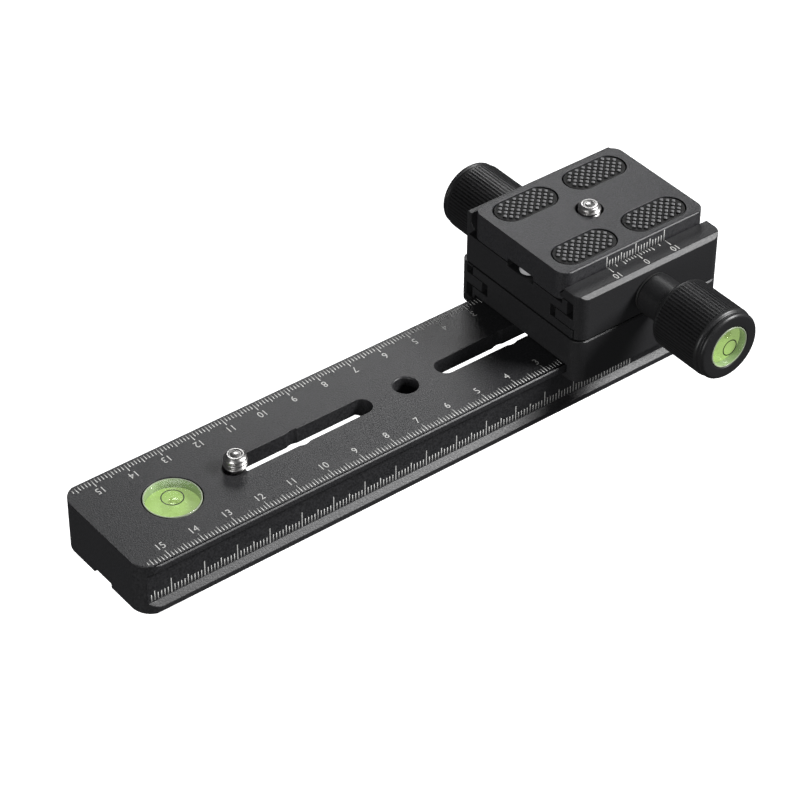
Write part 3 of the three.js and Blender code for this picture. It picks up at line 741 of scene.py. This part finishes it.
def stud(bm, centre, bottom):
    """A small square frustum with a rim rubbed down, turned by 45 degrees."""
    shoulder = (STUD_TOP, bottom + STUD_HEIGHT * 0.8)
    rubbed_top = (STUD_TOP * 0.86, bottom + STUD_HEIGHT)
    levels = [(STUD_FOOT, bottom), shoulder, rubbed_top]
    rings = []
    for size, z in levels:
        reach = size / math.sqrt(2)
        corners = ((reach, 0), (0, reach), (-reach, 0), (0, -reach))
        rings.append([bm.verts.new((centre.x + x, centre.y + y, z)) for x, y in corners])
    for lower, upper in zip(rings, rings[1:]):
        bridge(bm, lower, upper)
    bm.faces.new(rings[-1])
    bm.faces.new(list(reversed(rings[0])))


def on_pad(x, y, half_length, half_width, margin):
    over = max(abs(x) - (half_length - half_width), 0)
    return math.hypot(over, y) < half_width - margin


def build_pad(node):
    lo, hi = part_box(node)
    centre = middle(node)
    half_length, half_width = (hi.x - lo.x) / 2, (hi.y - lo.y) / 2
    floor = hi.z - STUD_HEIGHT
    foot = [(0.15 * MM, lo.z), (0, lo.z + 0.15 * MM)]
    rim = [(0, floor - 0.2 * MM), (0.06 * MM, floor - 0.06 * MM), (0.2 * MM, floor)]
    bm = bmesh.new()
    rings = [stadium(half_length - inset, half_width - inset, z, centre, bm) for inset, z in foot + rim]
    for lower, upper in zip(rings, rings[1:]):
        bridge(bm, lower, upper)
    bm.faces.new(rings[-1])
    bm.faces.new(list(reversed(rings[0])))
    columns, lines = (math.ceil(half / STUD_PITCH) for half in (half_length, half_width))
    for i in range(-columns, columns + 1):
        for j in range(-lines, lines + 1):
            x, y = i * STUD_PITCH, j * STUD_PITCH
            if (i + j) % 2 == 0 and on_pad(x, y, half_length, half_width, STUD_MARGIN):
                stud(bm, centre + Vector((x, y, 0)), floor - STUD_SINK)
    piece = made("look_" + node, bm, node)
    piece.data.set_sharp_from_angle(angle=math.radians(30))
    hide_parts(node)
    return piece


# ---------- bubble levels ----------


def level_frame(prefix):
    """Place of a level's lens face and the way it looks: up, or out of a knob's end."""
    lens_lo, lens_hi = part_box(prefix + "_lens")
    centre = middle(prefix + "_lens")
    if prefix == "rail_level":
        return Matrix.Translation((centre.x, centre.y, lens_hi.z))
    cup = middle(prefix + "_cup")
    outward = 1 if centre.y > cup.y else -1
    face = lens_hi.y if outward > 0 else lens_lo.y
    turn = Matrix.Rotation(-outward * math.pi / 2, 4, "X")
    return Matrix.Translation((centre.x, face, centre.z)) @ turn


def level_part(prefix, part, rows, place, closed=False, radius=0.12 * MM):
    node = f"{prefix}_{part}"
    bm = turned(softened(rows, radius, closed=closed), place, 96, closed=closed)
    piece = made("look_" + node, bm, node)
    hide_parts(node)
    return piece


def extent(node, place):
    """(radius, lowest, highest) of a round node along the place's axis."""
    lo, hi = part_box(node)
    back = place.inverted()
    a, b = back @ lo, back @ hi
    return abs(a.x - b.x) / 2, min(a.z, b.z), max(a.z, b.z)


def cup_rows(radius, inner, low):
    foot = [(radius - 0.3 * MM, low), (radius, low + 0.3 * MM)]
    floor = low + LEVEL_FLOOR
    return foot + [(radius, 0), (inner, 0), (inner, floor), (0.4 * MM, floor)]


def fluid_rows(radius, low, top):
    """The fluid's face lies where refraction makes its floor appear."""
    return [(radius - 0.3 * MM, low), (radius, low + 0.3 * MM), (radius, top), (0.5 * MM, top)]


def lens_rows(radius, low):
    return [(radius - 0.2 * MM, low), (radius, low + 0.1 * MM), (radius, -0.08 * MM), (0.5 * MM, 0)]


def ring_rows(radius):
    inside = radius - RING_WIDTH
    return [(inside, RING_GAP), (radius, RING_GAP), (radius, RING_PROUD), (inside, RING_PROUD)]


def build_level(prefix):
    """Cup, fluid, lens, printed ring and bubble."""
    place = level_frame(prefix)
    radius, low, _ = extent(prefix + "_cup", place)
    _, fluid_low, _ = extent(prefix + "_fluid", place)
    _, lens_low, _ = extent(prefix + "_lens", place)
    ring, _, _ = extent(prefix + "_ring", place)
    inner = radius - LEVEL_RIM
    level_part(prefix, "cup", cup_rows(radius, inner, low), place, radius=0.2 * MM)
    fluid_top = -LEVEL_SHOWN_DEPTH * radius
    level_part(prefix, "fluid", fluid_rows(inner - LEVEL_FIT, fluid_low, fluid_top), place)
    level_part(prefix, "lens", lens_rows(inner - LEVEL_FIT, lens_low), place)
    level_part(prefix, "ring", ring_rows(ring), place, closed=True, radius=RING_GAP)
    build_bubble(prefix + "_bubble", place, lens_low)


def build_bubble(node, place, ceiling):
    """A flat drop of air under the lens."""
    size, low, _ = extent(node, place)
    at = place.inverted() @ middle(node)
    depth = ceiling - 0.05 * MM - low
    rows = []
    for step in range(1, BUBBLE_STEPS):
        angle = math.pi * step / BUBBLE_STEPS
        rows.append((size * math.sin(angle) ** 0.7, low + depth * (1 - math.cos(angle)) / 2))
    bm = turned(rows, place @ Matrix.Translation((at.x, at.y, 0)), 64)
    piece = made("look_" + node, bm, node)
    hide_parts(node)


# ---------- pieces inside ----------


def dress_carried_over():
    """CAD nodes that are shown as they are get their finish."""
    for node, shown in frame["nodes"].items():
        if not shown.hide_render:
            shown.data.materials.clear()
            shown.data.materials.append(MATERIALS[slot_of(node)])


# ---------- studio ----------

VIEW_AZIMUTH = 38.0
VIEW_ELEVATION = 39.1
VIEW_ROLL = 0.37
VIEW_DISTANCE = 777.6 * MM
VIEW_LENS = 136.25
VIEW_TARGET = Vector((-6.6 * MM, -10.1 * MM, 22.5 * MM))

FLOOR_Z = -250 * MM
FLOOR_SIZE = 8
FLOOR_GLOW = 0.85
WORLD_LIGHT = 0.05


def build_camera():
    azimuth, elevation = math.radians(VIEW_AZIMUTH), math.radians(VIEW_ELEVATION)
    across = math.cos(elevation)
    forward = Vector((math.sin(azimuth) * across, math.cos(azimuth) * across, -math.sin(elevation)))
    data = bpy.data.cameras.new("camera")
    data.lens = VIEW_LENS
    data.clip_start, data.clip_end = 0.05, 20
    camera = bpy.data.objects.new("camera", data)
    camera.location = VIEW_TARGET - forward * VIEW_DISTANCE
    upright = forward.to_track_quat("-Z", "Y")
    camera.rotation_mode = "QUATERNION"
    roll = Matrix.Rotation(math.radians(VIEW_ROLL), 4, "Z")
    camera.rotation_quaternion = upright @ roll.to_quaternion()
    bpy.context.scene.collection.objects.link(camera)
    bpy.context.scene.camera = camera


def softbox(name, direction, distance, size, power):
    """A square light that looks at the object from that direction, unseen itself."""
    data = bpy.data.lights.new(name, "AREA")
    data.shape = "SQUARE"
    data.size = size
    data.energy = power
    lamp = bpy.data.objects.new(name, data)
    towards = Vector(direction).normalized()
    lamp.location = towards * distance
    lamp.rotation_mode = "QUATERNION"
    lamp.rotation_quaternion = (-towards).to_track_quat("-Z", "Y")
    lamp.visible_camera = False
    bpy.context.scene.collection.objects.link(lamp)


def build_floor():
    """A pale table far below the object, lit from inside so that it stays even."""
    bm = bmesh.new()
    bmesh.ops.create_grid(bm, x_segments=1, y_segments=1, size=FLOOR_SIZE)
    mesh = bpy.data.meshes.new("floor")
    bm.to_mesh(mesh)
    bm.free()
    floor = bpy.data.objects.new("floor", mesh)
    floor.location.z = FLOOR_Z
    bpy.context.scene.collection.objects.link(floor)
    paper = Surface("floor_paper", Emission_Strength=FLOOR_GLOW)
    grain = paper.noise(4 * MM, detail=2.0)
    pale = paper.ramp(grain, [(0.3, (0.86, 0.86, 0.86)), (0.7, (0.88, 0.88, 0.88))])
    paper.feed("Base Color", pale)
    paper.feed("Emission Color", pale)
    paper.feed("Roughness", paper.spread(grain, 0.85, 0.95))
    mesh.materials.append(paper.material)
    floor.visible_diffuse = False
    floor.visible_glossy = False


def build_studio():
    world = bpy.data.worlds.new("studio")
    world.use_nodes = True
    background = world.node_tree.nodes["Background"]
    background.inputs["Color"].default_value = (0.95, 0.97, 1, 1)
    background.inputs["Strength"].default_value = WORLD_LIGHT
    bpy.context.scene.world = world
    build_floor()
    softbox("far_right", (0.5, 0.68, 0.52), 0.9, 0.3, 1.55)
    softbox("key", (0.6, -0.49, 0.63), 1.2, 0.36, 19)
    softbox("left_fill", (-0.9, -0.35, 0.2), 1.2, 0.6, 6)
    bpy.context.scene.view_settings.view_transform = "Standard"


# ---------- assembly ----------

build_bodies()
rail_ticks()
web_ticks()
rail_numerals()
plate_ticks()
jaw_scale()
for knob_prefix in ("lower", "upper"):
    build_knob(knob_prefix)
build_screw("slot_screw", 3.8 * MM, 4.1 * MM)
build_screw("plate_screw", 2.7 * MM, 4 * MM)
for number in range(1, 5):
    build_pad(f"rubber_pad_{number}")
for level_prefix in ("rail_level", "lower_knob_level", "upper_knob_level"):
    build_level(level_prefix)
dress_carried_over()
build_studio()
build_camera()
